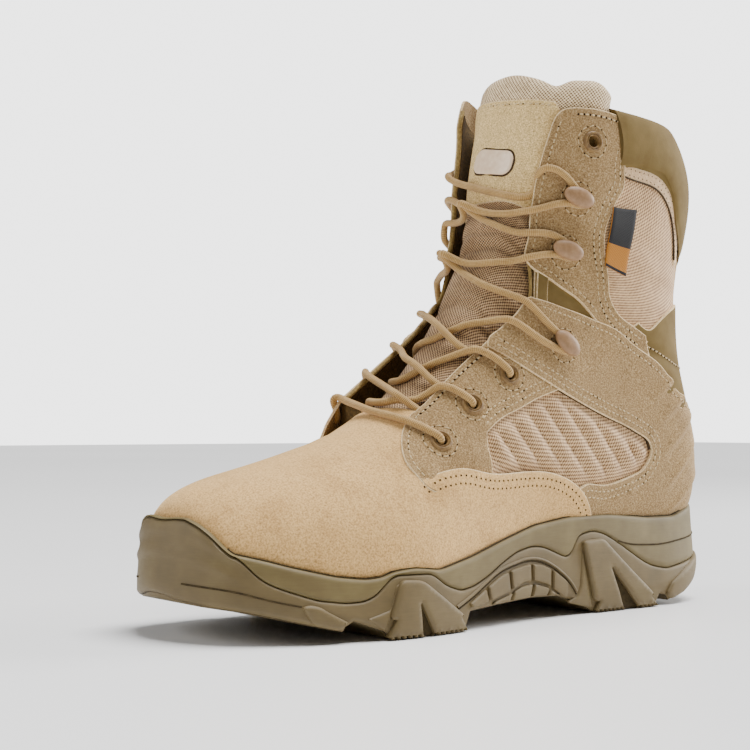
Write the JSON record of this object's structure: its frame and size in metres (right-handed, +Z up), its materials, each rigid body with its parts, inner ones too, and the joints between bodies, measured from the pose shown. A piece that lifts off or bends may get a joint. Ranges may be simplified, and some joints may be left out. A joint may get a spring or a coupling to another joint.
{
  "type": "desert boot",
  "caption": "Left lace-up boot with a tall suede and nylon shaft, padded collar, high tongue, speed hooks and a cupped, lugged rubber sole.",
  "frame": {"origin": "middle of the boot's outline on the ground", "axes": "toe at -Y, heel at +Y, lateral (outer) side at +X, +Z up"},
  "size_m": [0.1087, 0.3053, 0.2593],
  "materials": {
    "outsole_rubber": "matt moulded",
    "midsole_rubber": "matt moulded",
    "insole_foam": "knitted cover",
    "suede": "napped suede",
    "tongue_nylon": "coarse plain weave",
    "collar_lining": "smooth knit over foam",
    "painted_plate": "satin",
    "woven_tab": "fine woven tape",
    "lace_cord": "round braid",
    "painted_brass": "matt enamel"
  },
  "bodies": {
    "root": {"outsole": "outsole_rubber", "midsole": "midsole_rubber", "insole": "insole_foam", "upper": "suede", "tongue": "tongue_nylon", "collar": "collar_lining", "tongue_plate": "painted_plate", "side_tab": "woven_tab", "laces": "lace_cord", "eyelet_lateral_1": "painted_brass", "eyelet_lateral_2": "painted_brass", "eyelet_lateral_3": "painted_brass", "eyelet_lateral_4": "painted_brass", "eyelet_medial_1": "painted_brass", "eyelet_medial_2": "painted_brass", "eyelet_medial_3": "painted_brass", "eyelet_medial_4": "painted_brass", "hook_lateral_1": "painted_brass", "hook_lateral_2": "painted_brass", "hook_lateral_3": "painted_brass", "hook_medial_1": "painted_brass", "hook_medial_2": "painted_brass", "hook_medial_3": "painted_brass"}
  },
  "joints": []
}
